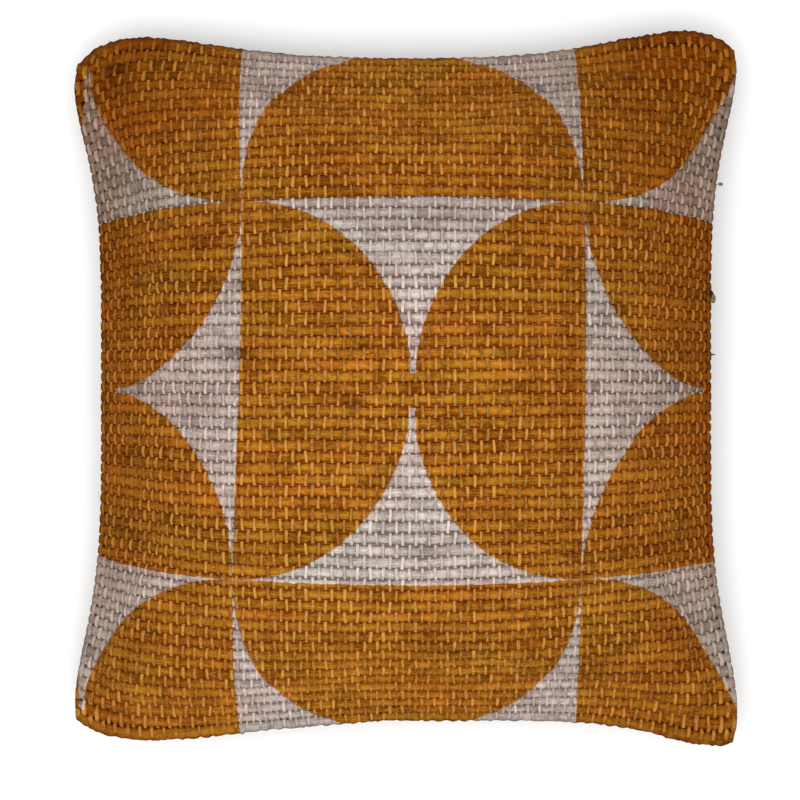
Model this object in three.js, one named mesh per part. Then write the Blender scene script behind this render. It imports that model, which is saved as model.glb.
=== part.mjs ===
// A plump throw cushion lying on its back: two panels of coarse hand-woven cloth sewn together
// round the edge and filled. The printed front faces up, and the top of the front is towards +Y.
// Millimetres, +Z up. The origin is on the resting plane, under the middle of the cushion.
import * as THREE from 'three';

// Each panel as it is cut, before filling pulls it in
const CLOTH = { width: 455, length: 492 };

// From the middle of the cushion to each side seam, half way along the side, once it is filled
const WAIST = { left: 205, right: 205, bottom: 223, top: 221 };

// Heights over the resting plane: the seam half way along a side, and the crown of the front
const SEAM_HEIGHT = 64;
const CROWN_HEIGHT = 141;

// How far the seam sinks at the corners, where little filling holds it up
const CORNER_DROOP = 8;

// reachX and reachY: where the seams would meet if the corner came to a point, from the middle.
// rounding: the share of that reach that is lost where the corner is sewn round.
// bowX and bowY: powers of the curve from the waist to the corner, straighter for longer when high.
const CORNERS = [
  { across: -1, along: 1, reachX: 259.1, reachY: 254.1, rounding: 0.149, bowX: 4.7, bowY: 2.4 },
  { across: 1, along: 1, reachX: 260.2, reachY: 264.6, rounding: 0.150, bowX: 5.4, bowY: 2.8 },
  { across: -1, along: -1, reachX: 246.8, reachY: 245.9, rounding: 0.100, bowX: 4.2, bowY: 1.4 },
  { across: 1, along: -1, reachX: 257.3, reachY: 276.5, rounding: 0.143, bowX: 4.6, bowY: 5.3 },
];
const CORNER_TURN = 8; // power that keeps the rounding close to its corner

// Powers along the cloth: of the crown's fall from the middle to a seam, and of how the weave
// closes up, seen from above, as the cloth slopes down
const CROWN_FALL = 2.6;
const WEAVE_CLOSING = 3.4;

// Share of its length that the cloth loses where it is gathered along the left and right seams
const SIDE_GATHER = 0.107;

// Extra fullness of the crown towards the corners, as a share of what it would be there
const CORNER_FULLNESS = 1.2;

// The back would be this much deeper if the floor didn't press it flat, and the share of its
// depth over which it eases into the flat
const BACK_OVERFILL = 1.3;
const BACK_EASE = 0.12;

// Soft troughs that run in from the seam, where the drawn-in side has more cloth than it needs
const PUCKERS = [
  { side: 'left', at: 150, width: 34, reach: 62, depth: 3.4 },
  { side: 'left', at: 4, width: 30, reach: 70, depth: 3.0 },
  { side: 'left', at: -112, width: 32, reach: 64, depth: 3.4 },
  { side: 'left', at: -174, width: 26, reach: 50, depth: 2.6 },
  { side: 'right', at: 172, width: 30, reach: 60, depth: 3.0 },
  { side: 'right', at: 134, width: 24, reach: 48, depth: 2.2 },
  { side: 'right', at: 52, width: 30, reach: 58, depth: 2.8 },
  { side: 'right', at: -35, width: 32, reach: 66, depth: 3.2 },
  { side: 'right', at: -133, width: 32, reach: 62, depth: 3.2 },
  { side: 'top', at: 136, width: 40, reach: 66, depth: 4.2 },
  { side: 'top', at: -82, width: 36, reach: 46, depth: 2.2 },
  { side: 'top', at: 58, width: 32, reach: 40, depth: 2.0 },
  { side: 'bottom', at: -60, width: 36, reach: 44, depth: 2.2 },
  { side: 'bottom', at: 88, width: 38, reach: 52, depth: 2.8 },
];

// Grid of each face, closer together near the seams than in the middle
const COLUMNS = 40;
const ROWS = 44;
const EDGE_CROWDING = 0.55;

const lerp = (a, b, share) => a + (b - a) * share;

function corner(across, along) {
  return CORNERS.find((c) => c.across === across && c.along === along);
}

// Position of a grid line, from -1 at one seam to 1 at the other
function gridLine(index, count) {
  const even = (2 * index) / count - 1;
  return lerp(even, Math.sin((even * Math.PI) / 2), EDGE_CROWDING);
}

// Distance of a side seam from the middle: place is from -1 to 1 along it, between two corners
function sideSeam(waist, before, after, reach, bow, place) {
  const end = place < 0 ? before : after;
  return lerp(waist, end[reach], Math.abs(place) ** end[bow]);
}

// A cloth position seen from above, from -1 to 1 of the half panel. The cloth keeps its own length
// in the middle, and closes up or opens towards the seam so that it meets it.
function fromMiddle(position, halfPanel, seam) {
  return position * lerp(halfPanel, seam, Math.abs(position) ** WEAVE_CLOSING);
}

// Plan of the cushion: s and t are places across and along the cloth, from -1 to 1
function planPoint(s, t) {
  const topLeft = corner(-1, 1);
  const topRight = corner(1, 1);
  const bottomLeft = corner(-1, -1);
  const bottomRight = corner(1, -1);
  const left = sideSeam(WAIST.left, bottomLeft, topLeft, 'reachX', 'bowX', t);
  const right = sideSeam(WAIST.right, bottomRight, topRight, 'reachX', 'bowX', t);
  const bottom = sideSeam(WAIST.bottom, bottomLeft, bottomRight, 'reachY', 'bowY', s);
  const top = sideSeam(WAIST.top, topLeft, topRight, 'reachY', 'bowY', s);
  const halfLength = (CLOTH.length / 2) * (1 - SIDE_GATHER * s * s);
  const x = fromMiddle(s, CLOTH.width / 2, s < 0 ? left : right);
  const y = fromMiddle(t, halfLength, t < 0 ? bottom : top);
  const { rounding } = corner(s < 0 ? -1 : 1, t < 0 ? -1 : 1);
  const keptX = 1 - rounding * s * s * Math.abs(t) ** CORNER_TURN;
  const keptY = 1 - rounding * t * t * Math.abs(s) ** CORNER_TURN;
  return [x * keptX, y * keptY];
}

// Rises to 1 and stays there, with an eased bend of the given size
function levelOff(value, ease) {
  if (value <= 1 - ease) return value;
  if (value >= 1 + ease) return 1;
  return 1 - (1 + ease - value) ** 2 / (4 * ease);
}

// Share of a face's full depth at a place on the cloth, before or after it is pressed flat
function fullShare(s, t, pressed) {
  const fallen = [Math.abs(s) ** CROWN_FALL, Math.abs(t) ** CROWN_FALL];
  const [across, along] = fallen.map((fall) => pressed(1 - fall));
  const share = across * along;
  return share * (1 + CORNER_FULLNESS * fallen[0] * fallen[1] * (1 - share));
}

// Fades from 1 in the middle to almost nothing at half the given size
function bump(offset, size) {
  const ratio = (2 * offset) / size;
  return Math.exp(-2 * ratio * ratio);
}

// Depth of the soft troughs at a place on the front, in plan
function puckerDepth(x, y) {
  let depth = 0;
  for (const pucker of PUCKERS) {
    const upright = pucker.side === 'left' || pucker.side === 'right';
    const sign = pucker.side === 'left' || pucker.side === 'bottom' ? -1 : 1;
    const inward = Math.max(0, WAIST[pucker.side] - sign * (upright ? x : y));
    const aside = (upright ? y : x) - pucker.at;
    depth += pucker.depth * bump(aside, pucker.width) * bump(inward, 2 * pucker.reach);
  }
  return depth;
}

function seamHeight(s, t) {
  return SEAM_HEIGHT - CORNER_DROOP * (s * t) ** 2;
}

function frontPoint(s, t) {
  const [x, y] = planPoint(s, t);
  const share = fullShare(s, t, (depth) => depth);
  const rise = CROWN_HEIGHT - SEAM_HEIGHT;
  const trough = puckerDepth(x, y) * Math.min(1, 2 * share);
  return [x, y, seamHeight(s, t) + rise * share - trough];
}

function backPoint(s, t) {
  const [x, y] = planPoint(s, t);
  const share = fullShare(s, t, (depth) => levelOff(BACK_OVERFILL * depth, BACK_EASE));
  return [x, y, seamHeight(s, t) * (1 - share)];
}

// One closed surface: the front grid, and the back grid that shares the front's seam points
function cushionGeometry() {
  const points = [];
  const front = [];
  const back = [];
  const onSeam = (column, row) => column % COLUMNS === 0 || row % ROWS === 0;
  for (let column = 0; column <= COLUMNS; column++) {
    front.push([]);
    back.push([]);
    for (let row = 0; row <= ROWS; row++) {
      const s = gridLine(column, COLUMNS);
      const t = gridLine(row, ROWS);
      front[column].push(points.push(frontPoint(s, t)) - 1);
      back[column].push(onSeam(column, row) ? front[column][row] : points.push(backPoint(s, t)) - 1);
    }
  }
  const triangles = [];
  for (let column = 0; column < COLUMNS; column++) {
    for (let row = 0; row < ROWS; row++) {
      const around = (grid) => [
        grid[column][row], grid[column + 1][row], grid[column + 1][row + 1], grid[column][row + 1],
      ];
      const [a, b, c, d] = around(front);
      const [e, f, g, h] = around(back);
      triangles.push(a, b, c, a, c, d);
      triangles.push(e, g, f, e, h, g);
    }
  }
  const geometry = new THREE.BufferGeometry();
  geometry.setAttribute('position', new THREE.Float32BufferAttribute(points.flat(), 3));
  geometry.setIndex(triangles);
  geometry.computeVertexNormals();
  geometry.computeBoundingBox();
  const middle = geometry.boundingBox.getCenter(new THREE.Vector3());
  geometry.translate(-middle.x, -middle.y, 0);
  return geometry;
}

const wovenCloth = new THREE.MeshStandardMaterial({ color: 0x96601e, roughness: 0.95, metalness: 0 });

const cushion = new THREE.Mesh(cushionGeometry(), wovenCloth);
cushion.name = 'cushion';

const throwCushion = new THREE.Group();
throwCushion.add(cushion);

export default throwCushion;
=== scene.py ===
"""Looks of a plump throw cushion in coarse hand-woven cloth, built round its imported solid.

Lengths are in metres, in the solid's frame: +X to the right of the printed front, +Y to its top,
+Z out of it, and the floor at 0. A place on a panel of the cover is (u, v), across and along the
flat cloth from the panel's middle.
"""
import math

import bmesh
import bpy
import numpy as np
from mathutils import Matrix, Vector, noise


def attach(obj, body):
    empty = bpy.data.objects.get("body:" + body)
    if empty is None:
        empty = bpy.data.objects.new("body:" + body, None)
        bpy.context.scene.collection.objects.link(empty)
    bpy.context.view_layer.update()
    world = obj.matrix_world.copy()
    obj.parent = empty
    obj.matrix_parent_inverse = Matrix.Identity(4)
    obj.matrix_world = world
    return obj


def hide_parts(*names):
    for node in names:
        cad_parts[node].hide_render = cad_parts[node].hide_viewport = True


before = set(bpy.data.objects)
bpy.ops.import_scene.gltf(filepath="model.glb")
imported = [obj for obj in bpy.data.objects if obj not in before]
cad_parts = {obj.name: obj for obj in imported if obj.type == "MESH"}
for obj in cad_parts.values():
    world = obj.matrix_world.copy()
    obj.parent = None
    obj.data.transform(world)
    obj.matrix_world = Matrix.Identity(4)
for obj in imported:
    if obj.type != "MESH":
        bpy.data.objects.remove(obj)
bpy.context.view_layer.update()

MM = 0.001

# The filled cushion, in the same sizes as its solid
CLOTH_WIDTH = 455 * MM
CLOTH_LENGTH = 492 * MM
WAIST = {"left": 205 * MM, "right": 205 * MM, "bottom": 223 * MM, "top": 221 * MM}
SEAM_HEIGHT = 64 * MM
CROWN_HEIGHT = 141 * MM
CORNER_DROOP = 8 * MM
CORNER_TURN = 8
CORNERS = {
    "top left": {"x": 259.1, "y": 254.1, "rounding": 0.149, "bow_x": 4.7, "bow_y": 2.4},
    "top right": {"x": 260.2, "y": 264.6, "rounding": 0.150, "bow_x": 5.4, "bow_y": 2.8},
    "bottom left": {"x": 246.8, "y": 245.9, "rounding": 0.100, "bow_x": 4.2, "bow_y": 1.4},
    "bottom right": {"x": 257.3, "y": 276.5, "rounding": 0.143, "bow_x": 4.6, "bow_y": 5.3},
}
CROWN_FALL = 2.6
WEAVE_CLOSING = 3.4
SIDE_GATHER = 0.107
CORNER_FULLNESS = 1.2
BACK_OVERFILL = 1.3
BACK_EASE = 0.12
PUCKERS = [
    {"side": "left", "at": 150, "width": 34, "reach": 62, "depth": 3.4},
    {"side": "left", "at": 4, "width": 30, "reach": 70, "depth": 3.0},
    {"side": "left", "at": -112, "width": 32, "reach": 64, "depth": 3.4},
    {"side": "left", "at": -174, "width": 26, "reach": 50, "depth": 2.6},
    {"side": "right", "at": 172, "width": 30, "reach": 60, "depth": 3.0},
    {"side": "right", "at": 134, "width": 24, "reach": 48, "depth": 2.2},
    {"side": "right", "at": 52, "width": 30, "reach": 58, "depth": 2.8},
    {"side": "right", "at": -35, "width": 32, "reach": 66, "depth": 3.2},
    {"side": "right", "at": -133, "width": 32, "reach": 62, "depth": 3.2},
    {"side": "top", "at": 136, "width": 40, "reach": 66, "depth": 4.2},
    {"side": "top", "at": -82, "width": 36, "reach": 46, "depth": 2.2},
    {"side": "top", "at": 58, "width": 32, "reach": 40, "depth": 2.0},
    {"side": "bottom", "at": -60, "width": 36, "reach": 44, "depth": 2.2},
    {"side": "bottom", "at": 88, "width": 38, "reach": 52, "depth": 2.8},
]

# Cells of the smooth panels that the yarns follow
PANEL_COLUMNS = 64
PANEL_ROWS = 70

# Yarns: half sizes of their flattened sections, the points round them in degrees from one side over
# the top, and how far the crossings push them. The first and the last weft lie close to their seams.
WEFTS = 65
WARPS = 108
WEFT_PITCH = CLOTH_LENGTH / (WEFTS - 0.4)
WARP_PITCH = CLOTH_WIDTH / WARPS
WEFT_HALF_WIDTH = 3.75 * MM
WEFT_HALF_HEIGHT = 1.9 * MM
WEFT_DIP = 0.45 * MM
WEFT_ANGLES = (0, 56, 90, 124, 180, 270)
WEFT_OVER_WIDTH = 0.03  # share by which a weft is wider where it passes over a warp
WARP_HALF_WIDTH = 1.2 * MM
WARP_HALF_HEIGHT = 0.55 * MM
WARP_ANGLES = (0, 60, 120, 180, 270)
WARP_LEAN = 0.9 * MM
UNEVENNESS = 0.13  # share by which hand-spun yarn swells and thins from point to point
COVER_DEPTH = WEFT_HALF_HEIGHT + WEFT_DIP
FLOOR_GAP = 0.2 * MM

# A warp's floats over a weft, and where it dives under the next. Steps are shares of the wefts'
# pitch, heights are shares of a float's full height, and a float lies up to FLOAT_SINK of its half
# height lower than FLOAT_SEAT of it.
FLOAT_STEPS = (-0.43, 0.0, 0.43)
UNDER_STEPS = (-0.24, 0.24)
FLOAT_SEAT = 0.5
FLOAT_SINK = 0.5
FLOAT_ENDS = 0.35
UNDER_DEPTH = 0.8
UNDER_WIDTH = 0.8

# How yarns sway over the flat cloth and swell. patch: how far a change takes across and up it.
CALM_YARNS = 4  # the sway dies out over this many yarns before a seam
WEFT_SWAY = {"size": 1.1 * MM, "patch": (70 * MM, 45 * MM)}
WEFT_WANDER = {"size": 0.35 * MM, "patch": (22 * MM, WEFT_PITCH)}
WEFT_SWELL = {"size": 0.10, "patch": (30 * MM, WEFT_PITCH)}
WEFT_SLUBS = {"size": 0.5, "above": 0.55, "patch": (45 * MM, WEFT_PITCH)}
WARP_SWAY = {"size": 0.35 * MM, "patch": (WARP_PITCH, 60 * MM)}
WARP_SWELL = {"size": 0.16, "patch": (WARP_PITCH, 24 * MM)}

# Light and dark of the yarns: their own tones, and painted shade and painted highlight where
# so noted. Shares of the way from dark to light, or of the full dark.
WEFT_SPREAD = 0.26  # how much whole yarns differ
WARP_SPREAD = 0.4
SHADE = 0.22
SHADE_LENGTHS = (34 * MM, 9 * MM)
POINT_SHADE = 0.16
FLOAT_SHADES = (-0.2, 0.24)
WEFT_FLANK_SHADE = 1.0  # painted shade: how much darker each yarn's flanks are than its top
WARP_FLANK_SHADE = 0.45
# how far up each yarn the painted flank shade spreads
FLANK_SHADE_SPREAD = 0.5
WEFT_CROWN_HIGHLIGHT = 0.12  # painted highlight: how much lighter a weft is where it passes over a warp, with painted shade where it passes under one
# Painted shade where yarns cross: a weft under a warp's float, a float's ends where it dives, and a
# warp under a weft
WEFT_UNDER_SHADE = 0.2
FLOAT_END_SHADE = 0.3
WARP_UNDER_SHADE = 0.85
SIDE_BEAD = 0.45  # share by which the warps show wider next to the side seams
SIDE_SHADE_FADE = 0.5  # share of the painted shade between the yarns that is lost there
FLECK = {"dark": 0.3, "length": 8 * MM, "sharpness": 2, "above": 0.9}
RIM_SHADE = 0.35  # painted shade: how far the cloth darkens in the last few millimetres before a seam, where it turns in
RIM = 5 * MM
WARMTH = {"own": 0.15, "cloth": 0.25, "patch": (55 * MM, 32 * MM), "yarn": 0.25, "length": 30 * MM}
# Painted shade: the cloth's colour deepens towards the sides, the top and the foot, less at the
# sides near the foot, and a little towards the right
PAINTED_SIDE_SHADE = {
    "side_power": 1.9, "side_lost_at_foot": 0.6, "side_gained_at_head": 0.1, "to_right": 0.06,
    "foot": 0.15, "foot_power": 3, "head": 0.34, "head_power": 1.5,
}

# The closed form under the yarns: how far it is drawn in from the seams, how much nearer to the
# face than the middle of the wefts it lies, and the least that it clears the floor
BODY_SHRINK = 0.985
BODY_RISE = 0.3 * MM
BODY_CLEARANCE = 1 * MM
BODY_ROOM = 0.9  # share that it takes of the room between the panels

# The cloth turns in at the seam over this much of its edge, and its yarns lie thinner and nearer to
# its face there. Each panel's yarns lie on their own side of the seam, nearly level along the end
# seams, and the back's are tucked further in.
SEAM_TURN = 7 * MM
SIDE_TURN = 2 * SEAM_TURN  # the wefts thin out and straighten over this much at the sides
SECTION_TURN = 3 * SEAM_TURN  # and their sections turn along the seam over this
WARP_END = SEAM_TURN / 3  # the warps come level over this at the end seams
SEAM_LEVEL = 0.85
SEAM_TUCK = {1: 0.6 * MM, -1: 2.2 * MM}
SEAM_BULGE = {1: 0.6 * MM, -1: 0.0}
SIDE_THINNING = 0.45
END_THINNING = 0.25
SIDE_RISE = 0.75
END_RISE = 0.3
SEAM_STANDOFF = 0.95
LEAST_UPRIGHT = 0.2  # a steeper slope than this counts as this, where a height is divided by it

# Maps of the yarns: fibres run in a strip for each yarn, this many times its girth apart, and the
# map for baking has a strip for each, with a little room at its ends and edges
FIBRE_MAP_PITCH = 3
BAKE_ENDS = (0.002, 0.998)
BAKE_EDGE = 0.08

# A yarn is as wide as its share of the cloth, where that is stretched or gathered
WIDTH_RANGE = (0.5, 1.4)

# Loose fibres of each panel: short hairs that bend by up to a radian, and stand up in an arch
FIBRES = 2600
FIBRE_STEPS = 4
FIBRE_RADIUS = 0.09 * MM
FIBRE_ANGLES = (90, 210, 330)
FIBRE_LENGTH = (3 * MM, 10 * MM)
FIBRE_STAND = (0.3 * MM, 1.6 * MM)
FIBRE_ARCH = 2.6  # radians of a wave
FIBRE_ROOT = 0.5 * MM
FIBRE_FIELD = 0.49  # share of the cloth, to each side of its middle, that holds roots
FIBRE_SPREAD = 0.5
FIBRE_LIGHTER = 0.25

# Knots and tufts of yarn that stand out of the right seam, by their place along the cloth
NUBS = [
    {"v": 71, "out": -1.0, "radii": (2.8, 2.8, 2.4), "colour": (72, 36, 24)},
    {"v": 68, "out": 1.2, "radii": (1.9, 3.2, 1.6), "colour": (146, 124, 86)},
    {"v": 156, "out": 1.2, "radii": (1.9, 0.4, 0.4), "colour": (150, 148, 146)},
    {"v": 156, "out": 3.0, "radii": (1.4, 1.2, 1.0), "colour": (126, 126, 126)},
    {"v": 25, "out": 0.9, "radii": (1.8, 0.6, 0.6), "colour": (150, 120, 84)},
]

NUB_LUMPS = {"scale": 1.6, "size": 0.45}
NUB_TURNS = {"scale": (2, 2, 9), "size": 0.22}

# The print: each cell holds two half-rounds, and the next cell is the same turned by a quarter.
# Each half-round is as wide and as long as half its cell.
CELL_WIDTH = 227.6 * MM
CELL_LENGTH = 254.6 * MM
PRINT_MIDDLE = (2.4 * MM, -2.1 * MM)

# Where two half-rounds come close, the bare gap between them stays one warp wide, and then they
# join for this far to either side of where they touch. pull: how strongly, in the print's field,
# which is 1 on a half-round's edge. soft: the share of its size over which it fades.
GAP = {"size": 2 * MM, "pull": 0.035, "soft": 0.1}
JOIN = {"size": 11 * MM, "pull": 0.07, "soft": 0.05}
PRINT_EDGE = 0.008
PRINT_WOBBLE = {"scale": 260.0, "size": 2.4 * MM}

# The print runs a little wide towards the corners, where the cloth was cut off its straight grain.
# cut: the share of a corner's rounding that was cut off the cloth, and not drawn in by the seam.
PRINT_SPREAD = {
    "top left": {"across": 0.047, "along": 0.040, "cut": 0.0},
    "top right": {"across": 0.030, "along": 0.017, "cut": 0.25},
    "bottom left": {"across": 0.030, "along": 0.040, "cut": 0.0},
    "bottom right": {"across": 0.030, "along": 0.017, "cut": 0.5},
}

# How far the print sways across as it runs up the cloth, more on the left than on the right
PRINT_SWAY = {"size": 3.6 * MM, "wave": 500 * MM, "start": -60 * MM, "left": 1.0, "right": 0.4}

# The filled cover is let go as cloth for a moment, and keeps the soft puckers that it makes
SETTLE_FRAMES = 20
SETTLE_PRESSURE = 4.0
SETTLE_CAP = 2.5 * MM
SETTLE_SEAM_CAP = 1 * MM
SETTLE_EASE = 40 * MM  # distance from a seam where the full cap is reached
SETTLE_SLIDE = 0.05
SETTLE_QUALITY = 6
PUCKER_CELLS = 1
SWELL_CELLS = 6

# Patches of warmer and cooler cloth run over all the yarns alike
PATCH_SEED = 41

# Slubs and marks that stand out in the cloth of the front
MARKS = [
    {"u": -111, "v": 24, "length": 16, "height": 3, "dark": 0.9},
    {"u": 12, "v": -106, "length": 30, "height": 4, "dark": 0.45},
    {"u": -78, "v": -186, "length": 34, "height": 4, "dark": 0.5},
    {"u": 152, "v": 216, "length": 10, "height": 5, "dark": 0.9},
    {"u": -190, "v": 74, "length": 9, "height": 4, "dark": 0.8},
    {"u": 88, "v": 214, "length": 8, "height": 3, "dark": 0.7},
    {"u": -196, "v": 228, "length": 14, "height": 4, "dark": 0.7},
    {"u": 8, "v": 112, "length": 60, "height": 16, "dark": 0.22},
]


def lerp(a, b, share):
    return a + (b - a) * share


def smoothstep(value):
    value = np.clip(value, 0, 1)
    return value * value * (3 - 2 * value)


def near_seam(place, size, reach):
    """Rises from 0 to 1 over that reach before the seam at either end of that size of cloth."""
    return smoothstep(1 - (size / 2 - np.abs(place)) / reach)


def seam_thickness(u, v):
    """How thick the yarns are at a place on the cloth: thinner where it turns in at a seam."""
    side = near_seam(u, CLOTH_WIDTH, SIDE_TURN)
    end = near_seam(v, CLOTH_LENGTH, SEAM_TURN)
    return (1 - SIDE_THINNING * side) * (1 - END_THINNING * end)


def side_seam(waist, before, after, reach, bow, place):
    """Distance of a side seam from the middle: place is from -1 to 1, between two corners."""
    start, end = CORNERS[before], CORNERS[after]
    return lerp(
        waist,
        np.where(place < 0, start[reach] * MM, end[reach] * MM),
        np.abs(place) ** np.where(place < 0, start[bow], end[bow]),
    )


def from_middle(position, half_panel, seam):
    """A cloth position seen from above: the cloth keeps its own length in the middle."""
    return position * lerp(half_panel, seam, np.abs(position) ** WEAVE_CLOSING)


def plan(s, t):
    """Where the cloth's place (s, t), each from -1 to 1, lies seen from above."""
    left = side_seam(WAIST["left"], "bottom left", "top left", "x", "bow_x", t)
    right = side_seam(WAIST["right"], "bottom right", "top right", "x", "bow_x", t)
    bottom = side_seam(WAIST["bottom"], "bottom left", "bottom right", "y", "bow_y", s)
    top = side_seam(WAIST["top"], "top left", "top right", "y", "bow_y", s)
    half_length = CLOTH_LENGTH / 2 * (1 - SIDE_GATHER * s**2)
    x = from_middle(s, CLOTH_WIDTH / 2, np.where(s < 0, left, right))
    y = from_middle(t, half_length, np.where(t < 0, bottom, top))
    rounding = by_corner(s, t, lambda name: CORNERS[name]["rounding"])
    x = x * (1 - rounding * s**2 * np.abs(t) ** CORNER_TURN)
    y = y * (1 - rounding * t**2 * np.abs(s) ** CORNER_TURN)
    return x - (x.min() + x.max()) / 2, y - (y.min() + y.max()) / 2


def level_off(value, ease):
    bend = 1 - (1 + ease - value) ** 2 / (4 * ease)
    return np.where(value <= 1 - ease, value, np.where(value >= 1 + ease, 1, bend))


def pressed_flat(depth):
    return level_off(BACK_OVERFILL * depth, BACK_EASE)


def full_share(s, t, pressed):
    """Share of a face's full depth, where pressed turns a free depth into the one on the floor."""
    fallen = [np.abs(s) ** CROWN_FALL, np.abs(t) ** CROWN_FALL]
    across, along = (pressed(1 - fall) for fall in fallen)
    share = across * along
    return share * (1 + CORNER_FULLNESS * fallen[0] * fallen[1] * (1 - share))


def bump(offset, size):
    """Fades from 1 in the middle to almost nothing at half the given size."""
    return np.exp(-2 * (2 * offset / size) ** 2)


def pucker_depth(x, y):
    depth = 0 * x
    for pucker in PUCKERS:
        upright = pucker["side"] in ("left", "right")
        sign = -1 if pucker["side"] in ("left", "bottom") else 1
        inward = np.maximum(0, WAIST[pucker["side"]] - sign * (x if upright else y))
        aside = (y if upright else x) - pucker["at"] * MM
        shape = bump(aside, pucker["width"] * MM) * bump(inward, 2 * pucker["reach"] * MM)
        depth = depth + pucker["depth"] * MM * shape
    return depth


def panel_points(facing):
    """The smooth panel as a grid of points: facing is 1 for the front and -1 for the back."""
    s, t = np.meshgrid(
        np.linspace(-1, 1, PANEL_COLUMNS + 1), np.linspace(-1, 1, PANEL_ROWS + 1), indexing="ij"
    )
    x, y = plan(s, t)
    seam = SEAM_HEIGHT - CORNER_DROOP * (s * t) ** 2
    if facing > 0:
        share = full_share(s, t, lambda depth: depth)
        trough = pucker_depth(x, y) * np.minimum(1, 2 * share)
        z = seam + (CROWN_HEIGHT - SEAM_HEIGHT) * share - trough
    else:
        z = seam * (1 - full_share(s, t, pressed_flat))
    return np.stack([x, y, z], axis=-1)


def cubic_weights(f):
    """Weights of the four points round a place that is a share f past the second."""
    return [
        f * (-1 + f * (2 - f)) / 2,
        1 + f * f * (3 * f - 5) / 2,
        f * (1 + f * (4 - 3 * f)) / 2,
        f * f * (f - 1) / 2,
    ]


class SmoothGrid:
    """Smooth values between the points of an even grid, whose last axis holds each value."""

    def __init__(self, grid):
        self.cells = (grid.shape[0] - 1, grid.shape[1] - 1)
        grid = np.concatenate([2 * grid[:1] - grid[1:2], grid, 2 * grid[-1:] - grid[-2:-1]])
        before = 2 * grid[:, :1] - grid[:, 1:2]
        after = 2 * grid[:, -1:] - grid[:, -2:-1]
        self.grid = np.concatenate([before, grid, after], axis=1)

    def at(self, a, b):
        """a and b are shares of the way across and along the grid, as arrays of one shape."""
        found = []
        for share, cells in zip((a, b), self.cells):
            place = np.clip(share, 0, 1) * cells
            cell = np.minimum(place.astype(int), cells - 1)
            found.append((cell, cubic_weights(place - cell)))
        (i, across), (j, along) = found
        total = 0
        for m in range(4):
            for n in range(4):
                total = total + (across[m] * along[n])[..., None] * self.grid[i + m, j + n]
        return total


def soft_noise(u, v, size_u, size_v, seed):
    """Smooth noise over the cloth, about -1 to 1, with patches of the given sizes."""
    cells = (math.ceil(CLOTH_WIDTH / size_u) + 1, math.ceil(CLOTH_LENGTH / size_v) + 1)
    random = np.random.default_rng(seed)
    lattice = SmoothGrid(random.uniform(-1, 1, (cells[0] + 1, cells[1] + 1, 1)))
    a, b = np.broadcast_arrays(u / CLOTH_WIDTH + 0.5, v / CLOTH_LENGTH + 0.5)
    return lattice.at(a, b)[..., 0]


def unit(vectors):
    return vectors / np.maximum(np.linalg.norm(vectors, axis=-1, keepdims=True), 1e-12)


def flat_grid():
    """The places on the flat cloth of a panel's grid."""
    return np.meshgrid(
        np.linspace(-CLOTH_WIDTH / 2, CLOTH_WIDTH / 2, PANEL_COLUMNS + 1),
        np.linspace(-CLOTH_LENGTH / 2, CLOTH_LENGTH / 2, PANEL_ROWS + 1),
        indexing="ij",
    )


def add_object(name, data):
    made = bpy.data.objects.new(name, data)
    bpy.context.scene.collection.objects.link(made)
    return made


def closed_form(name, top, low):
    """One closed mesh of two grids of points that share their edge. Returns it with the grid's
    places in its list of points that are only in the low grid."""
    inner = np.zeros(top.shape[:2], bool)
    inner[1:-1, 1:-1] = True
    index = np.arange(inner.size).reshape(inner.shape)
    other = index.copy()
    other[inner] = index.size + np.arange(inner.sum())

    def quads(grid):
        corners = [grid[:-1, :-1], grid[1:, :-1], grid[1:, 1:], grid[:-1, 1:]]
        return np.stack(corners, axis=-1).reshape(-1, 4)

    mesh = bpy.data.meshes.new(name)
    vertices = np.concatenate([top.reshape(-1, 3), low[inner]])
    mesh.from_pydata(vertices, [], np.concatenate([quads(index), quads(other)[:, ::-1]]).tolist())
    return add_object(name, mesh), inner


def blurred(grid, cells):
    """The grid smoothed over about that many cells, with its edges reflected."""
    reach = 2 * cells
    weights = np.exp(-0.5 * (np.arange(-reach, reach + 1) / cells) ** 2)
    weights = weights / weights.sum()
    for axis in (0, 1):
        edges = [(reach, reach) if axis == side else (0, 0) for side in range(grid.ndim)]
        padded = np.pad(grid, edges, mode="reflect")
        length = grid.shape[axis]
        grid = sum(
            weight * np.take(padded, np.arange(start, start + length), axis=axis)
            for start, weight in enumerate(weights)
        )
    return grid


def simulated(front, back):
    """Both panels once the cover has been let go as cloth that wants its flat size back."""
    piece, inner = closed_form("settling", front, back)
    flat = np.stack([*flat_grid(), 0 * front[..., 0]], axis=-1)
    piece.shape_key_add(name="Filled")
    cut = piece.shape_key_add(name="Flat")
    cut.data.foreach_set("co", np.concatenate([flat.reshape(-1, 3), flat[inner]]).ravel())
    modifier = piece.modifiers.new("Cloth", "CLOTH")
    cloth = modifier.settings
    cloth.rest_shape_key = cut
    cloth.use_pressure = True
    cloth.uniform_pressure_force = SETTLE_PRESSURE
    cloth.effector_weights.gravity = 0.0
    cloth.quality = SETTLE_QUALITY
    for number in range(1, SETTLE_FRAMES + 1):
        bpy.context.scene.frame_set(number)
    loose = piece.evaluated_get(bpy.context.evaluated_depsgraph_get())
    points = np.empty(3 * len(piece.data.vertices))
    loose.data.vertices.foreach_get("co", points)
    points = points.reshape(-1, 3)
    bpy.context.scene.frame_set(1)
    bpy.data.objects.remove(piece)
    new_front = points[: inner.size].reshape(front.shape)
    new_back = new_front.copy()
    new_back[inner] = points[inner.size:]
    return new_front, new_back


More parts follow.
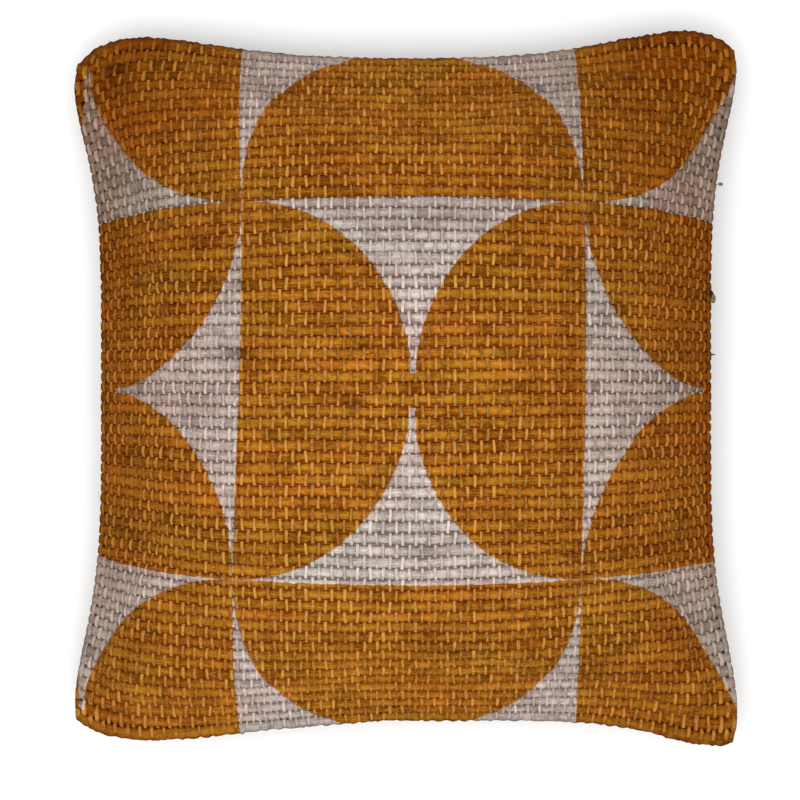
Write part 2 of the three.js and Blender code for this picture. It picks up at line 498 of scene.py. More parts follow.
def settled(front, back):
    """Both panels with the soft puckers that the cloth makes, without its even swell. The back
    keeps still where it lies on the floor."""
    u, v = flat_grid()
    to_seam = np.minimum(CLOTH_WIDTH / 2 - np.abs(u), CLOTH_LENGTH / 2 - np.abs(v))
    cap = lerp(SETTLE_SEAM_CAP, SETTLE_CAP, smoothstep(to_seam / SETTLE_EASE))[..., None]
    found = []
    free = (1.0, back[..., 2:] / SEAM_HEIGHT)
    for old, new, loosened in zip((front, back), simulated(front, back), free):
        move = blurred(new - old, PUCKER_CELLS)
        move = move - blurred(move, SWELL_CELLS)
        across, along = np.gradient(old, axis=0), np.gradient(old, axis=1)
        up = unit(np.cross(across, along))
        rise = (move * up).sum(axis=-1, keepdims=True) * up
        move = (rise + SETTLE_SLIDE * (move - rise)) * np.minimum(1, loosened)
        size = np.linalg.norm(move, axis=-1, keepdims=True)
        found.append(old + move * cap * np.tanh(size / cap) / np.maximum(size, 1e-9))
    for edge in (0, -1):
        found[0][edge] = found[1][edge] = (found[0][edge] + found[1][edge]) / 2
        found[0][:, edge] = found[1][:, edge] = (found[0][:, edge] + found[1][:, edge]) / 2
    return found


class Panel:
    """One panel of the cover, as filled: places on the flat cloth become places in the room."""

    def __init__(self, points, others, facing):
        self.surface = SmoothGrid(points)
        self.apart = SmoothGrid(np.linalg.norm(points - others, axis=-1, keepdims=True))
        self.facing = facing

    def smooth(self, u, v):
        return self.surface.at(u / CLOTH_WIDTH + 0.5, v / CLOTH_LENGTH + 0.5)

    def slopes(self, u, v):
        step = 1 * MM
        across = unit(self.smooth(u + step, v) - self.smooth(u - step, v))
        along = unit(self.smooth(u, v + step) - self.smooth(u, v - step))
        return across, along, unit(np.cross(across, along)) * self.facing

    def rise(self, u, v):
        """The way in which yarns lie on each other: off the cloth, and nearly upright at the end
        seams, where sloping yarns of both panels would cross."""
        level = SEAM_LEVEL * near_seam(v, CLOTH_LENGTH, SEAM_TURN)[..., None]
        return unit(lerp(self.slopes(u, v)[2], [0, 0, self.facing], level))

    def stretch(self, u, v, way):
        """How long a small piece of cloth is once it is filled, across or along."""
        step = WEFT_PITCH / 2
        du, dv = (step, 0) if way == "across" else (0, step)
        u = np.clip(u, step - CLOTH_WIDTH / 2, CLOTH_WIDTH / 2 - step)
        v = np.clip(v, step - CLOTH_LENGTH / 2, CLOTH_LENGTH / 2 - step)
        ends = self.smooth(u + du, v + dv) - self.smooth(u - du, v - dv)
        return np.clip(np.linalg.norm(ends, axis=-1) / (2 * step), *WIDTH_RANGE)

    def room(self, u, v, up):
        """How far a point may sink under the cloth before it meets the other panel's."""
        apart = self.apart.at(u / CLOTH_WIDTH + 0.5, v / CLOTH_LENGTH + 0.5)
        return apart / 2 / np.maximum(np.abs(up[..., 2:]), LEAST_UPRIGHT)

    def beneath(self, u, v, depth):
        """A point that deep under the cloth, or less where the other panel's is near."""
        up = self.slopes(u, v)[2]
        return self.smooth(u, v) - np.minimum(depth, BODY_ROOM * self.room(u, v, up)) * up

    def square(self, centres, up):
        """The way across each yarn, level with the cloth."""
        return unit(np.cross(up, unit(np.gradient(centres, axis=1)))) * self.facing

    def place(self, u, v, height):
        """A point at that height over the middle of the cloth, which turns in at the seams."""
        across, along, up = self.slopes(u, v)
        near_side = near_seam(u, CLOTH_WIDTH, SEAM_TURN)[..., None]
        near_end = near_seam(v, CLOTH_LENGTH, SEAM_TURN)[..., None]
        depth = COVER_DEPTH * (1 - np.maximum(SIDE_RISE * near_side, END_RISE * near_end))
        room = self.room(u, v, up)
        depth = np.minimum(depth, room)
        standoff = SEAM_STANDOFF * WEFT_HALF_HEIGHT * seam_thickness(u, v)[..., None]
        lift = np.maximum(0, standoff - (room - depth) * np.abs(up[..., 2:]))
        outward_side = across * np.sign(u)[..., None] * [1, 1, 0]
        outward_end = along * np.sign(v)[..., None] * [1, 1, 0]
        shift = 0
        for near, outward in ((near_side, outward_side), (near_end, outward_end)):
            bulge = SEAM_BULGE[self.facing] * np.sin(math.pi * near)
            shift = shift + (bulge - SEAM_TUCK[self.facing] * near**2) * unit(outward)
        shift = shift + lift * [0, 0, self.facing]
        shift = shift + height[..., None] * self.rise(u, v)
        return self.smooth(u, v) - depth * up + shift


def by_corner(s, t, value):
    """The value of the corner that each place is nearest to."""
    upper = np.where(s < 0, value("top left"), value("top right"))
    lower = np.where(s < 0, value("bottom left"), value("bottom right"))
    return np.where(t < 0, lower, upper)


def printed_place(place):
    """Where the print lies on the flat cloth."""
    s, t = 2 * place[..., 0] / CLOTH_WIDTH, 2 * place[..., 1] / CLOTH_LENGTH
    across, along, cut = (
        by_corner(s, t, lambda name: PRINT_SPREAD[name][column])
        for column in ("across", "along", "cut")
    )
    cut = cut * by_corner(s, t, lambda name: CORNERS[name]["rounding"])
    wide = (1 + across * s**2 * t**2) * (1 - cut * s**2 * np.abs(t) ** CORNER_TURN)
    tall = (1 + along * s**2 * t**2) * (1 - cut * t**2 * np.abs(s) ** CORNER_TURN)
    size = PRINT_SWAY["size"] * lerp(PRINT_SWAY["left"], PRINT_SWAY["right"], smoothstep(s + 0.5))
    turn = 2 * math.pi * (place[..., 1] - PRINT_SWAY["start"]) / PRINT_SWAY["wave"]
    sway = np.stack([size * np.sin(turn), 0 * turn], axis=-1)
    return place * np.stack([wide, tall], axis=-1) - sway


def yarn_mesh(name, seed, facing, cloth, spread, centres, ways, section, tints, painted_shade, flank_shade):
    """Joins many yarns into one mesh. Each yarn is a closed tube along its row of centres. ways
    are the directions of its section's width and height, and section is its half width, its half
    height and the angles of the points round it. cloth is each centre's place on the flat cloth,
    and spread is the direction in it that the section spreads. tints colour each centre,
    painted_shade is the painted shade at each centre where yarns cross, and flank_shade is how
    much darker the yarn's flanks are, as painted shade."""
    yarns, steps = centres.shape[:2]
    half_width, half_height, degrees = section
    points = len(degrees)
    random = np.random.default_rng(seed)
    angles = np.radians(degrees)[::facing]
    cos, sin = np.cos(angles), np.sin(angles)
    uneven = 1 + UNEVENNESS * random.uniform(-1, 1, (yarns, steps, points))
    wide = (half_width[..., None] * cos * uneven)[..., None]
    high = (half_height[..., None] * sin * uneven)[..., None]
    aside, up = (way[:, :, None] for way in ways)
    vertices = centres[:, :, None] + wide * aside + high * up
    cloth_places = np.stack(cloth, axis=-1)[:, :, None] + wide * np.array(spread)
    cloth_places = printed_place(cloth_places)
    index = np.arange(yarns * steps * points).reshape(yarns, steps, points)
    following = np.roll(index, -1, axis=2)
    quads = np.stack([index[:, :-1], index[:, 1:], following[:, 1:], following[:, :-1]], axis=-1)
    caps = [row[::-1].tolist() for row in index[:, 0]] + [row.tolist() for row in index[:, -1]]
    vertices[..., 2] = np.maximum(vertices[..., 2], FLOOR_GAP)
    mesh = bpy.data.meshes.new(name)
    mesh.from_pydata(vertices.reshape(-1, 3), [], quads.reshape(-1, 4).tolist() + caps)

    # Corner by corner: the place on the cloth, the place along and round the yarn, the bake strip
    lengths = np.linalg.norm(np.diff(centres, axis=1), axis=-1)
    travelled = np.concatenate([np.zeros((yarns, 1)), lengths.cumsum(axis=1)], axis=1)
    around = np.append(np.arange(points), points) / points
    perimeter = 4 * float(half_width.mean())
    number = np.arange(yarns)[:, None, None]
    shape = (yarns, steps, points + 1)
    fibre = np.stack([
        np.broadcast_to(travelled[:, :, None], shape),
        np.broadcast_to(around * perimeter + number * FIBRE_MAP_PITCH * perimeter, shape),
    ], axis=-1)
    strip = np.stack([
        np.broadcast_to(np.linspace(*BAKE_ENDS, steps)[None, :, None], shape),
        np.broadcast_to((number + BAKE_EDGE + (1 - 2 * BAKE_EDGE) * around) / yarns, shape),
    ], axis=-1)
    cloth_places = np.concatenate([cloth_places, cloth_places[:, :, :1]], axis=2)
    for title, values in (("Cloth", cloth_places), ("Fibre", fibre), ("OFBake", strip)):
        corners = np.stack(
            [values[:, :-1, :-1], values[:, 1:, :-1], values[:, 1:, 1:], values[:, :-1, 1:]], axis=3
        )
        ends = [values[:, 0, -2::-1], values[:, -1, :-1]]
        flat = np.concatenate([corners.reshape(-1, 2)] + [end.reshape(-1, 2) for end in ends])
        layer = mesh.uv_layers.new(name=title)
        layer.data.foreach_set("uv", flat.ravel().astype(np.float32))
    tint = mesh.attributes.new("Tint", "FLOAT_COLOR", "POINT")
    colours = np.repeat(tints[:, :, None], points, axis=2)
    colours[..., 0] += POINT_SHADE * random.uniform(-1, 1, (yarns, steps, points))
    tint.data.foreach_set("color", colours.ravel().astype(np.float32))
    # Painted shade: darker on each yarn's flanks and where it crosses others, with less of it where
    # the painted side shade is
    deep = mesh.attributes.new("PaintedShade", "FLOAT", "POINT")
    painted_shade_share = np.maximum(flank_shade * (1 - np.maximum(0, sin)) ** FLANK_SHADE_SPREAD, painted_shade[:, :, None])
    painted_shade_share = painted_shade_share * (1 - SIDE_SHADE_FADE * tints[:, :, 3:])
    deep.data.foreach_set("value", painted_shade_share.ravel().astype(np.float32))
    mesh.validate()
    mesh.shade_smooth()
    return add_object(name, mesh)


def weft_middle(row):
    return (row - (WEFTS - 1) / 2) * WEFT_PITCH


def weft_places(u, row, seed):
    """Where each weft yarn's middle runs, as it wanders over the flat cloth."""
    middle = weft_middle(row)
    calm = 1 - near_seam(middle, CLOTH_LENGTH, CALM_YARNS * WEFT_PITCH)
    sway = WEFT_SWAY["size"] * soft_noise(u, middle, *WEFT_SWAY["patch"], seed)
    own = WEFT_WANDER["size"] * soft_noise(u, middle, *WEFT_WANDER["patch"], seed + 1)
    return middle + (sway + own) * calm


def weft_fullness(u, row, seed):
    middle = weft_middle(row)
    uneven = WEFT_SWELL["size"] * soft_noise(u, middle, *WEFT_SWELL["patch"], seed + 2)
    slub = soft_noise(u, middle, *WEFT_SLUBS["patch"], seed + 3) - WEFT_SLUBS["above"]
    return 1 + uneven + WEFT_SLUBS["size"] * np.maximum(0, slub)


def warp_is_over(row, column):
    return (row + column) % 2 == 0


def marks_darkness(u, v):
    dark = 0 * u
    for mark in MARKS:
        along = bump(u - mark["u"] * MM, 2 * mark["length"] * MM)
        across = bump(v - mark["v"] * MM, 2 * mark["height"] * MM)
        dark = np.maximum(dark, mark["dark"] * along * across)
    return dark


def side_shade_share(u, v):
    """How much painted shade deepens the cloth's colour towards the side seams and the top of the
    cushion.
    """
    s, t = 2 * u / CLOTH_WIDTH, 2 * v / CLOTH_LENGTH
    foot, head = np.clip(-t, 0, 1), np.clip(t, 0, 1)
    side = np.abs(s) ** PAINTED_SIDE_SHADE["side_power"]
    lost = PAINTED_SIDE_SHADE["side_lost_at_foot"] * foot**2
    side = side * (1 - lost + PAINTED_SIDE_SHADE["side_gained_at_head"] * head**2)
    side = side + PAINTED_SIDE_SHADE["foot"] * foot ** PAINTED_SIDE_SHADE["foot_power"]
    side = side + PAINTED_SIDE_SHADE["head"] * head ** PAINTED_SIDE_SHADE["head_power"]
    return np.clip(side + PAINTED_SIDE_SHADE["to_right"] * s, 0, 1)


def yarn_tints(u, v, number, spread, seed, marked):
    """Four shares for the colour of a yarn: how light it is, how warm it is, its flecks and marks
    with the painted shade at the seams, and how much painted shade it takes towards the sides."""
    random = np.random.default_rng(seed)
    own = random.uniform(-1, 1, (number, 2))
    light = 0.5 + 0.5 * spread * own[:, None, 0]
    for number_drawn, length in zip((1, 3), SHADE_LENGTHS):
        light = light + SHADE * soft_noise(u, v, length, WEFT_PITCH, seed + number_drawn)
    warm = 0.5 + WARMTH["own"] * own[:, None, 1]
    warm = warm + WARMTH["cloth"] * soft_noise(u, v, *WARMTH["patch"], PATCH_SEED)
    warm = warm + WARMTH["yarn"] * soft_noise(u, v, WARMTH["length"], WEFT_PITCH, seed + 2)
    fleck = FLECK["sharpness"] * soft_noise(u, v, FLECK["length"], WEFT_PITCH, seed + 4)
    fleck = FLECK["dark"] * np.clip(fleck - FLECK["above"], 0, 1)
    # Painted shade along the seams, where the cloth turns in
    rim_shade = RIM_SHADE * np.maximum(near_seam(u, CLOTH_WIDTH, RIM), near_seam(v, CLOTH_LENGTH, RIM))
    dark = np.maximum(fleck, rim_shade)
    if marked:
        dark = np.maximum(dark, marks_darkness(u, v))
    shares = np.broadcast_arrays(light, np.clip(warm, 0, 1), dark, side_shade_share(u, v))
    return np.stack(shares, axis=-1)


def make_wefts(panel, name, seed, marked):
    """The thick yarns that run across, dipping under one warp and rising over the next."""
    # Odd steps lie in the middle of a warp, and even ones half way between two warps
    step = np.arange(2 * WARPS + 1)[None, :]
    row = np.arange(WEFTS)[:, None]
    u = np.linspace(-CLOTH_WIDTH / 2, CLOTH_WIDTH / 2, step.size)[None, :]
    u = np.broadcast_to(u, (WEFTS, step.size))
    v = weft_places(u, row, seed)
    over = np.where(warp_is_over(row, (step - 1) // 2), -1, 1) * (step % 2)
    height = WEFT_DIP * over * (1 - near_seam(u, CLOTH_WIDTH, SIDE_TURN))
    centres = panel.place(u, v, height)
    along, up = panel.slopes(u, v)[1], panel.rise(u, v)
    fullness = weft_fullness(u, row, seed)
    half_width = WEFT_HALF_WIDTH * fullness * (1 + WEFT_OVER_WIDTH * over)
    half_width = half_width * panel.stretch(u, v, "along")
    half_height = WEFT_HALF_HEIGHT * fullness * seam_thickness(u, v)
    near_side = near_seam(u, CLOTH_WIDTH, SECTION_TURN)[..., None]
    aside = unit(lerp(panel.square(centres, up), along, near_side))
    aside = unit(aside - (aside * up).sum(axis=-1, keepdims=True) * up)
    tints = yarn_tints(u, v, WEFTS, WEFT_SPREAD, seed + 20, marked)
    # Painted highlight where the weft passes over a warp, and painted shade where it passes under
    # one and between the crossings
    tints[..., 0] += WEFT_CROWN_HIGHLIGHT * np.where(step % 2 == 1, over, -0.5)
    # Painted shade where the weft passes under a warp
    painted_shade = np.where(over < 0, WEFT_UNDER_SHADE, 0.0)
    return yarn_mesh(
        name, seed + 50, panel.facing, (u, v), (0.0, 1.0), centres, (aside, up),
        (half_width, half_height, WEFT_ANGLES), tints, painted_shade, WEFT_FLANK_SHADE,
    )


def warp_steps(first, second):
    """The rows of wefts that a warp meets and its steps at each, which take turns between two."""
    rows, steps = [], []
    for row in range(0, WEFTS + 1, 2):
        rows += [row] * len(first) + [row + 1] * len(second)
        steps += [*first, *second]
    return np.array(rows), np.array(steps)


def make_warps(panel, name, seed, marked):
    """The thin yarns that run up the cloth, over one weft and under the next."""
    column = np.arange(WARPS)[:, None]
    middle = (column + 0.5) * WARP_PITCH - CLOTH_WIDTH / 2
    even, odd = warp_steps(FLOAT_STEPS, UNDER_STEPS), warp_steps(UNDER_STEPS, FLOAT_STEPS)
    row, offset = (np.where(column % 2 == 0, *pair) for pair in zip(even, odd))
    sway = WARP_SWAY["size"] * soft_noise(middle, weft_middle(row), *WARP_SWAY["patch"], seed + 5)
    calm = 1 - near_seam(middle, CLOTH_WIDTH, CALM_YARNS * WARP_PITCH)
    leans = np.random.default_rng(seed + 7).uniform(-WARP_LEAN, WARP_LEAN, (WARPS, WEFTS + 1))
    u = middle + (sway + leans[column, row] * offset) * calm
    v = weft_places(u, row, seed) + offset * WEFT_PITCH
    v = np.clip(v, -CLOTH_LENGTH / 2, CLOTH_LENGTH / 2)
    over = warp_is_over(row, column)
    sinks = FLOAT_SINK * np.random.default_rng(seed + 8).uniform(0, 1, (WARPS, WEFTS + 1)) ** 2
    lift = WEFT_HALF_HEIGHT * weft_fullness(u, row, seed) * seam_thickness(u, v) - WEFT_DIP
    lift = lift + WARP_HALF_HEIGHT * (FLOAT_SEAT - sinks[column, row])
    edge = np.sqrt(np.maximum(0, 1 - (offset * WEFT_PITCH / WEFT_HALF_WIDTH) ** 2))
    height = np.where(over, lift * lerp(FLOAT_ENDS, 1, edge), -lift * UNDER_DEPTH)
    centres = panel.place(u, v, height * (1 - near_seam(v, CLOTH_LENGTH, WARP_END)))
    up = panel.rise(u, v)
    heavy = 1 + WARP_SWELL["size"] * soft_noise(u, v, *WARP_SWELL["patch"], seed + 6)
    bead = 1 + SIDE_BEAD * (2 * u / CLOTH_WIDTH) ** 4
    half_width = WARP_HALF_WIDTH * heavy * np.where(over, bead, UNDER_WIDTH)
    half_width = half_width * panel.stretch(u, v, "across")
    tints = yarn_tints(u, v, WARPS, WARP_SPREAD, seed + 40, marked)
    floats = np.random.default_rng(seed + 9).uniform(*FLOAT_SHADES, (WARPS, WEFTS + 1))
    tints[..., 0] += floats[column, row]
    # Painted shade at a float's ends, where it dives, and where the warp runs under a weft
    painted_shade = np.where(over, FLOAT_END_SHADE * (1 - edge), WARP_UNDER_SHADE)
    return yarn_mesh(
        name, seed + 60, panel.facing, (u, v), (-1.0, 0.0), centres,
        (panel.square(centres, up), up), (half_width, WARP_HALF_HEIGHT * heavy, WARP_ANGLES),
        tints, painted_shade, WARP_FLANK_SHADE,
    )


def make_fibres(panel, name, seed, marked):
    """Loose fibres: short bent hairs that are rooted between the yarns and lean over them."""
    random = np.random.default_rng(seed)
    share = np.linspace(0, 1, FIBRE_STEPS)[None, :]
    root = random.uniform(-FIBRE_FIELD, FIBRE_FIELD, (2, FIBRES, 1))
    length = random.uniform(*FIBRE_LENGTH, (FIBRES, 1))
    stand = random.uniform(*FIBRE_STAND, (FIBRES, 1))
    heading = random.uniform(0, 2 * math.pi, (FIBRES, 1))
    heading = heading + random.uniform(-1, 1, (FIBRES, 1)) * share
    u = root[0] * CLOTH_WIDTH + length * share * np.cos(heading)
    v = root[1] * CLOTH_LENGTH + length * share * np.sin(heading)
    u = np.clip(u, -CLOTH_WIDTH / 2, CLOTH_WIDTH / 2)
    v = np.clip(v, -CLOTH_LENGTH / 2, CLOTH_LENGTH / 2)
    height = lerp(-FIBRE_ROOT, WEFT_HALF_HEIGHT, smoothstep(3 * share))
    centres = panel.place(u, v, height + stand * np.sin(FIBRE_ARCH * share))
    up = panel.rise(u, v)
    tints = yarn_tints(u, v, FIBRES, FIBRE_SPREAD, seed + 1, marked)
    tints[..., 0] += FIBRE_LIGHTER
    thin = FIBRE_RADIUS + 0 * u
    return yarn_mesh(
        name, seed + 2, panel.facing, (u, v), (0.0, 0.0), centres,
        (panel.square(centres, up), up), (thin, thin, FIBRE_ANGLES), tints, 0 * u, 0.0,
    )


def make_nubs(front):
    """Lumpy knots and tufts of yarn on the right seam."""
    made = bmesh.new()
    colours = []
    for number, nub in enumerate(NUBS):
        ball = bmesh.ops.create_icosphere(made, subdivisions=3, radius=1.0)["verts"]
        seam = front.smooth(np.array(CLOTH_WIDTH / 2), np.array(nub["v"] * MM))
        middle = Vector(seam) + Vector((nub["out"] * MM, 0, 0))
        for vertex in ball:
            way = vertex.co.copy()
            lump = noise.noise(way * NUB_LUMPS["scale"] + Vector((7 * number, 0, 0)))
            turn = Vector([way[axis] * NUB_TURNS["scale"][axis] for axis in range(3)])
            size = 1 + NUB_LUMPS["size"] * lump + NUB_TURNS["size"] * noise.noise(turn)
            vertex.co = middle + Vector(
                [way[axis] * size * nub["radii"][axis] * MM for axis in range(3)]
            )
        colours += [srgb(*nub["colour"])] * len(ball)
    mesh = bpy.data.meshes.new("nubs")
    made.to_mesh(mesh)
    made.free()
    tint = mesh.attributes.new("Tint", "FLOAT_COLOR", "POINT")
    tint.data.foreach_set("color", np.array(colours, dtype=np.float32).ravel())
    mesh.materials.append(nub_material())
    mesh.shade_smooth()
    return add_object("nubs", mesh)


def make_body(front, back):
    """The closed form under the yarns, seen only in the gaps between them, where its colour is
    painted shade on top of the real shadow there.
    """
    u, v = flat_grid()
    top, low = (
        panel.beneath(BODY_SHRINK * u, BODY_SHRINK * v, COVER_DEPTH - BODY_RISE)
        for panel in (front, back)
    )
    top[[0, -1]] = (top[[0, -1]] + low[[0, -1]]) / 2
    top[:, [0, -1]] = (top[:, [0, -1]] + low[:, [0, -1]]) / 2
    low[..., 2] = np.maximum(low[..., 2], BODY_CLEARANCE)
    piece, inner = closed_form("cushion_body", top, low)
    mesh = piece.data
    place = np.stack([u, v], axis=-1) * BODY_SHRINK
    place = np.concatenate([place.reshape(-1, 2), place[inner]])
    corners = np.empty(len(mesh.loops), dtype=np.int32)
    mesh.loops.foreach_get("vertex_index", corners)
    mesh.uv_layers.new(name="Cloth").data.foreach_set("uv", place[corners].ravel())
    faces = PANEL_COLUMNS * PANEL_ROWS
    # These colours stand for the gaps between the yarns: painted shade on top of the real shadow
    # there
    mesh.materials.append(body_material("body_front_gap_shade", srgb(138, 118, 104), srgb(150, 78, 8)))
    mesh.materials.append(body_material("body_back_gap_shade", srgb(128, 108, 94), None))
    mesh.polygons.foreach_set("material_index", np.repeat([0, 1], faces))
    mesh.shade_smooth()
    return piece


class Shader:
    """One material's nodes, written as short calls."""

    def __init__(self, name):
        self.material = bpy.data.materials.new(name)
        self.material.use_nodes = True
        self.tree = self.material.node_tree
        self.tree.nodes.clear()

    def node(self, kind, inputs=(), **settings):
        made = self.tree.nodes.new(kind)
        for key, value in settings.items():
            setattr(made, key, value)
        for key, value in dict(inputs).items():
            if isinstance(value, bpy.types.NodeSocket):
                self.tree.links.new(value, made.inputs[key])
            else:
                made.inputs[key].default_value = value
        return made

    def maths(self, operation, a, b=0.0, c=0.0):
        node = self.node("ShaderNodeMath", {0: a, 1: b, 2: c}, operation=operation)
        return node.outputs[0]

    def mix(self, share, a, b):
        node = self.node("ShaderNodeMix", {0: share, 6: a, 7: b}, data_type="RGBA")
        return node.outputs[2]

    def multiply(self, share, a, b):
        node = self.node(
            "ShaderNodeMix", {0: share, 6: a, 7: b}, data_type="RGBA", blend_type="MULTIPLY"
        )
        return node.outputs[2]

    def uv(self, name):
        return self.node("ShaderNodeUVMap", uv_map=name).outputs[0]

    def split(self, vector):
        return self.node("ShaderNodeSeparateXYZ", {0: vector}).outputs[:3]

    def noise(self, vector, stretch, scale, detail=2.0):
        mapped = self.node("ShaderNodeMapping", {"Vector": vector, "Scale": stretch}).outputs[0]
        node = self.node(
            "ShaderNodeTexNoise", {"Vector": mapped, "Scale": scale, "Detail": detail}
        )
        return node.outputs[0]

    def spread(self, value, low, high, to_low=0.0, to_high=1.0):
        inputs = {0: value, 1: low, 2: high, 3: to_low, 4: to_high}
        return self.node("ShaderNodeMapRange", inputs, clamp=True).outputs[0]

    def cloth(self, colour, roughness, specular, height, strength, distance):
        """The finished material: dull cloth, with its grain as a bump."""
        relief = {"Height": height, "Strength": strength, "Distance": distance}
        surface = self.node("ShaderNodeBsdfPrincipled", {
            "Base Color": colour, "Roughness": roughness, "Specular IOR Level": specular,
            "Normal": self.node("ShaderNodeBump", relief).outputs[0],
        })
        self.node("ShaderNodeOutputMaterial", {"Surface": surface.outputs[0]})
        return self.material


def srgb(red, green, blue):
    """A colour of the screen, 0 to 255, as the light it stands for."""
    channels = [c / 255 for c in (red, green, blue)]
    linear = [c / 12.92 if c <= 0.04045 else ((c + 0.055) / 1.055) ** 2.4 for c in channels]
    return (*linear, 1.0)


def print_share(shader):
    """1 where the mustard is printed and 0 where the cloth is bare, from the place on the cloth."""
    place = shader.uv("Cloth")
    x, y, _ = shader.split(place)
    wobble = shader.noise(place, (1, 1, 1), PRINT_WOBBLE["scale"])
    wobble = shader.maths("SUBTRACT", wobble, 0.5)
    drift = shader.maths("MULTIPLY", wobble, PRINT_WOBBLE["size"])
    cell = []
    for value, middle, size in (
        (x, PRINT_MIDDLE[0], CELL_WIDTH), (y, PRINT_MIDDLE[1], CELL_LENGTH)
    ):
        moved = shader.maths("ADD", shader.maths("SUBTRACT", value, middle), drift)
        number = shader.maths("ROUND", shader.maths("DIVIDE", moved, size))
        inside = shader.maths("SUBTRACT", moved, shader.maths("MULTIPLY", number, size))
        cell.append((number, shader.maths("ABSOLUTE", inside)))
    (column, across), (row, along) = cell

    def edges(rule):
        return rule["size"] * (1 - rule["soft"]), rule["size"] * (1 + rule["soft"])

    def round_field(a, b, from_touch, aside):
        """Under 1 inside a half-round. aside is how far a place is from the line where two meet,
        and from_touch how far it is from the point where they touch."""
        a = shader.maths("DIVIDE", a, CELL_WIDTH / 2)
        b = shader.maths("DIVIDE", b, CELL_LENGTH / 2)
        field = shader.maths("ADD", shader.maths("MULTIPLY", a, a), shader.maths("MULTIPLY", b, b))
        gap = shader.spread(aside, *edges(GAP), GAP["pull"], 0.0)
        join = shader.spread(from_touch, *edges(JOIN), JOIN["pull"], 0.0)
        return shader.maths("SUBTRACT", shader.maths("ADD", field, gap), join)

    upright = round_field(shader.maths("SUBTRACT", CELL_WIDTH / 2, across), along, along, across)
    turned = round_field(across, shader.maths("SUBTRACT", CELL_LENGTH / 2, along), across, along)
    odd = shader.maths("MODULO", shader.maths("ABSOLUTE", shader.maths("ADD", column, row)), 2.0)
    field = shader.maths("ADD", upright, shader.maths(
        "MULTIPLY", odd, shader.maths("SUBTRACT", turned, upright)))
    return shader.spread(field, 1 + PRINT_EDGE, 1 - PRINT_EDGE)


def yarn_material(name, natural, mustard, printed, fibre_scale):
    """natural and mustard are each the dark and the light of the yarn, and what it is multiplied
    by where it is cool, where it is warm, in its painted shade between and under the yarns, and in
    its painted shade towards the sides."""
    shader = Shader(name)
    tint = shader.node("ShaderNodeAttribute", attribute_name="Tint").outputs
    light, warm, dark = shader.split(tint["Color"])
    fibre = shader.uv("Fibre")
    place = shader.node("ShaderNodeTexCoord").outputs["Object"]
    strands = shader.noise(fibre, (0.10, 1.0, 1.0), fibre_scale, 3.0)
    mottle = shader.noise(fibre, (0.45, 1.0, 1.0), fibre_scale * 0.28, 2.0)
    fuzz = shader.noise(place, (1, 1, 1), 700.0, 2.0)
    level = light
    for grain, strength in ((strands, 1.5), (mottle, 1.4), (fuzz, 1.3)):
        level = shader.maths(
            "MULTIPLY_ADD", shader.maths("SUBTRACT", grain, 0.5), strength, level
        )
    level = shader.spread(level, 0.0, 1.0)
    # Painted shade between and under the yarns
    painted_shade = shader.node("ShaderNodeAttribute", attribute_name="PaintedShade").outputs["Fac"]

    def coloured(colours):
        deep, pale, cool_tone, warm_tone, painted_shade_tone, side = colours
        base = shader.mix(level, deep, pale)
        base = shader.multiply(1.0, base, shader.mix(warm, cool_tone, warm_tone))
        # Painted shade towards the sides, the top and the foot
        base = shader.multiply(tint["Alpha"], base, side)
        # Painted shade between and under the yarns, in its own tone
        return shader.multiply(painted_shade, base, painted_shade_tone)

    colour = coloured(natural)
    if printed:
        colour = shader.mix(print_share(shader), colour, coloured(mustard))
    # Darker at the cloth's flecks and marks, and painted shade along the seams
    colour = shader.multiply(dark, colour, srgb(92, 78, 62))
    height = shader.maths("ADD", strands, fuzz)
    return shader.cloth(colour, 0.95, 0.04, height, 0.6, 0.5 * MM)


def nub_material():
    shader = Shader("nub_yarn")
    tint = shader.node("ShaderNodeAttribute", attribute_name="Tint").outputs["Color"]
    place = shader.node("ShaderNodeTexCoord").outputs["Object"]
    strands = shader.noise(place, (0.4, 0.4, 1.0), 2600.0, 3.0)
    level = shader.spread(strands, 0.35, 0.65)
    colour = shader.mix(level, shader.multiply(1.0, tint, srgb(150, 140, 132)), tint)
    return shader.cloth(colour, 0.95, 0.04, strands, 0.7, 0.4 * MM)


def body_material(name, bare, printed):
    """Dull cloth of the bare colour, or of the printed one where the print falls."""
    shader = Shader(name)
    place = shader.node("ShaderNodeTexCoord").outputs["Object"]
    grain = shader.noise(place, (1, 1, 1), 900.0)
    colour = bare
    if printed:
        colour = shader.mix(print_share(shader), bare, printed)
    colour = shader.mix(grain, shader.multiply(1.0, colour, srgb(170, 170, 170)), colour)
    return shader.cloth(colour, 1.0, 0.05, grain, 0.6, 0.5 * MM)


def floor_material():
    shader = Shader("floor")
    place = shader.node("ShaderNodeTexCoord").outputs["Object"]
    cloud = shader.noise(place, (1, 1, 1), 1.5)
    colour = shader.mix(cloud, srgb(240, 240, 240), srgb(246, 246, 246))
    surface = shader.node("ShaderNodeBsdfPrincipled", {"Base Color": colour, "Roughness": 0.9})
    shader.node("ShaderNodeOutputMaterial", {"Surface": surface.outputs[0]})
    return shader.material


def make_floor():
    size = 4.0
    corners = [(-size, -size, 0), (size, -size, 0), (size, size, 0), (-size, size, 0)]
    mesh = bpy.data.meshes.new("floor")
    mesh.from_pydata(corners, [], [(0, 1, 2, 3)])
    mesh.materials.append(floor_material())
    add_object("floor", mesh)


def area_light(name, place, target, size, watts):
    lamp = bpy.data.lights.new(name, "AREA")
    lamp.shape = "DISK"
    lamp.size = size
    lamp.energy = watts
    made = add_object(name, lamp)
    made.location = place
    made.rotation_euler = (Vector(target) - Vector(place)).to_track_quat("-Z", "Y").to_euler()


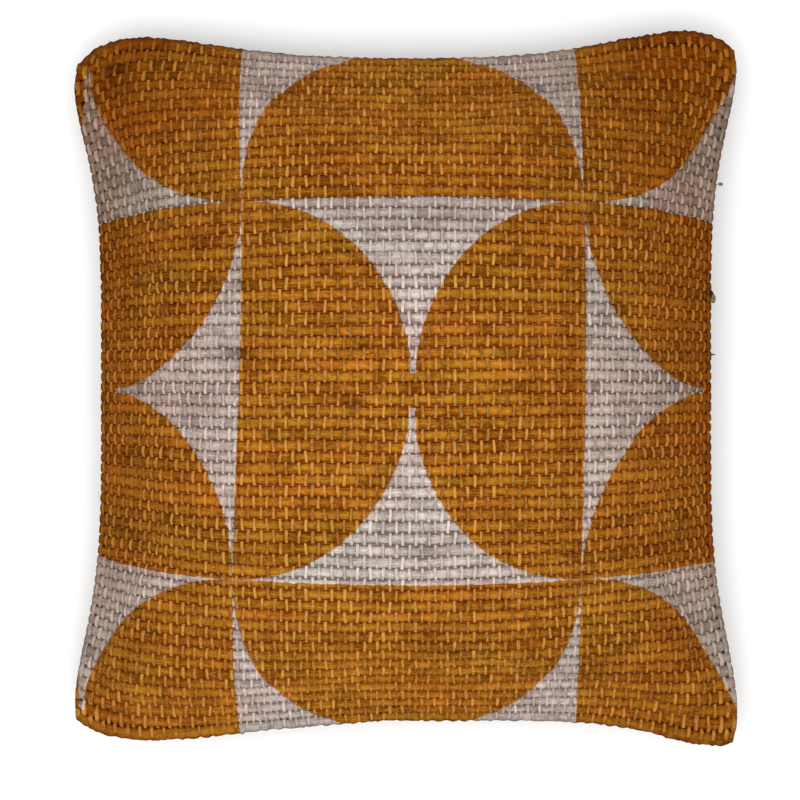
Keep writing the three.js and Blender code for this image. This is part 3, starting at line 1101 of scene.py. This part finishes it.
def light_room():
    world = bpy.data.worlds.new("studio")
    world.use_nodes = True
    background = world.node_tree.nodes["Background"]
    background.inputs[0].default_value = (1.0, 1.0, 1.0, 1.0)
    background.inputs[1].default_value = 0.68
    bpy.context.scene.world = world
    area_light("overhead", (-0.1, -0.28, 2.6), (0, 0, 0.05), 1.8, 54.0)


# The camera looks straight down at the face, with the front's top edge at the top of the picture
PICTURE_SIZE = 800
CUSHION_MIDDLE = (406, 388)
METRES_PER_PIXEL = 0.67 * MM
CAMERA_DISTANCE = 2.14


def place_camera():
    scene = bpy.context.scene
    data = bpy.data.cameras.new("camera")
    data.sensor_width = 36.0
    data.lens = data.sensor_width * CAMERA_DISTANCE / (PICTURE_SIZE * METRES_PER_PIXEL)
    camera = add_object("camera", data)
    x = (PICTURE_SIZE / 2 - CUSHION_MIDDLE[0]) * METRES_PER_PIXEL
    y = (CUSHION_MIDDLE[1] - PICTURE_SIZE / 2) * METRES_PER_PIXEL
    camera.location = (x, y, SEAM_HEIGHT + CAMERA_DISTANCE)
    scene.camera = camera
    scene.view_settings.view_transform = "Standard"


def build():
    panels = [panel_points(1), panel_points(-1)]
    panels = settled(*panels)
    front = Panel(panels[0], panels[1], 1)
    back = Panel(panels[1], panels[0], -1)
    body = make_body(front, back)
    # Each yarn's tones: its dark and light, its cool and warm tones, the tone of its painted shade
    # between and under the yarns, and the tone of its painted shade towards the sides
    natural_tones = (srgb(242, 246, 240), srgb(255, 238, 234), srgb(200, 182, 170))
    mustard_tones = (srgb(240, 248, 206), srgb(255, 226, 196), srgb(206, 134, 46))
    natural = (srgb(154, 143, 139), srgb(214, 208, 207), *natural_tones, srgb(172, 152, 135))
    mustard = (srgb(117, 70, 12), srgb(188, 135, 48), *mustard_tones, srgb(190, 154, 98))
    natural_warp = (
        srgb(168, 158, 153), srgb(222, 214, 210), *natural_tones, srgb(206, 194, 182),
    )
    mustard_warp = (
        srgb(145, 100, 47), srgb(206, 159, 95), *mustard_tones, srgb(214, 190, 144),
    )
    weft_printed = yarn_material("weft_printed", natural, mustard, True, 900.0)
    warp_printed = yarn_material("warp_printed", natural_warp, mustard_warp, True, 1400.0)
    weft_plain = yarn_material("weft_plain", natural, mustard, False, 900.0)
    warp_plain = yarn_material("warp_plain", natural_warp, mustard_warp, False, 1400.0)
    pieces = [body, make_nubs(front)]
    for panel, side, seed in ((front, "front", 100), (back, "back", 500)):
        marked = panel.facing > 0
        weft_look, warp_look = (
            (weft_printed, warp_printed) if marked else (weft_plain, warp_plain)
        )
        for make, kind, look in (
            (make_wefts, "weft", weft_look), (make_warps, "warp", warp_look),
            (make_fibres, "fibres", warp_look),
        ):
            shift = 300 if kind == "fibres" else 0
            piece = make(panel, f"{kind}_{side}", seed + shift, marked)
            piece.data.materials.append(look)
            pieces.append(piece)
    for piece in pieces:
        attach(piece, "root")
        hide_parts("cushion")


build()
make_floor()
light_room()
place_camera()
bpy.context.view_layer.update()
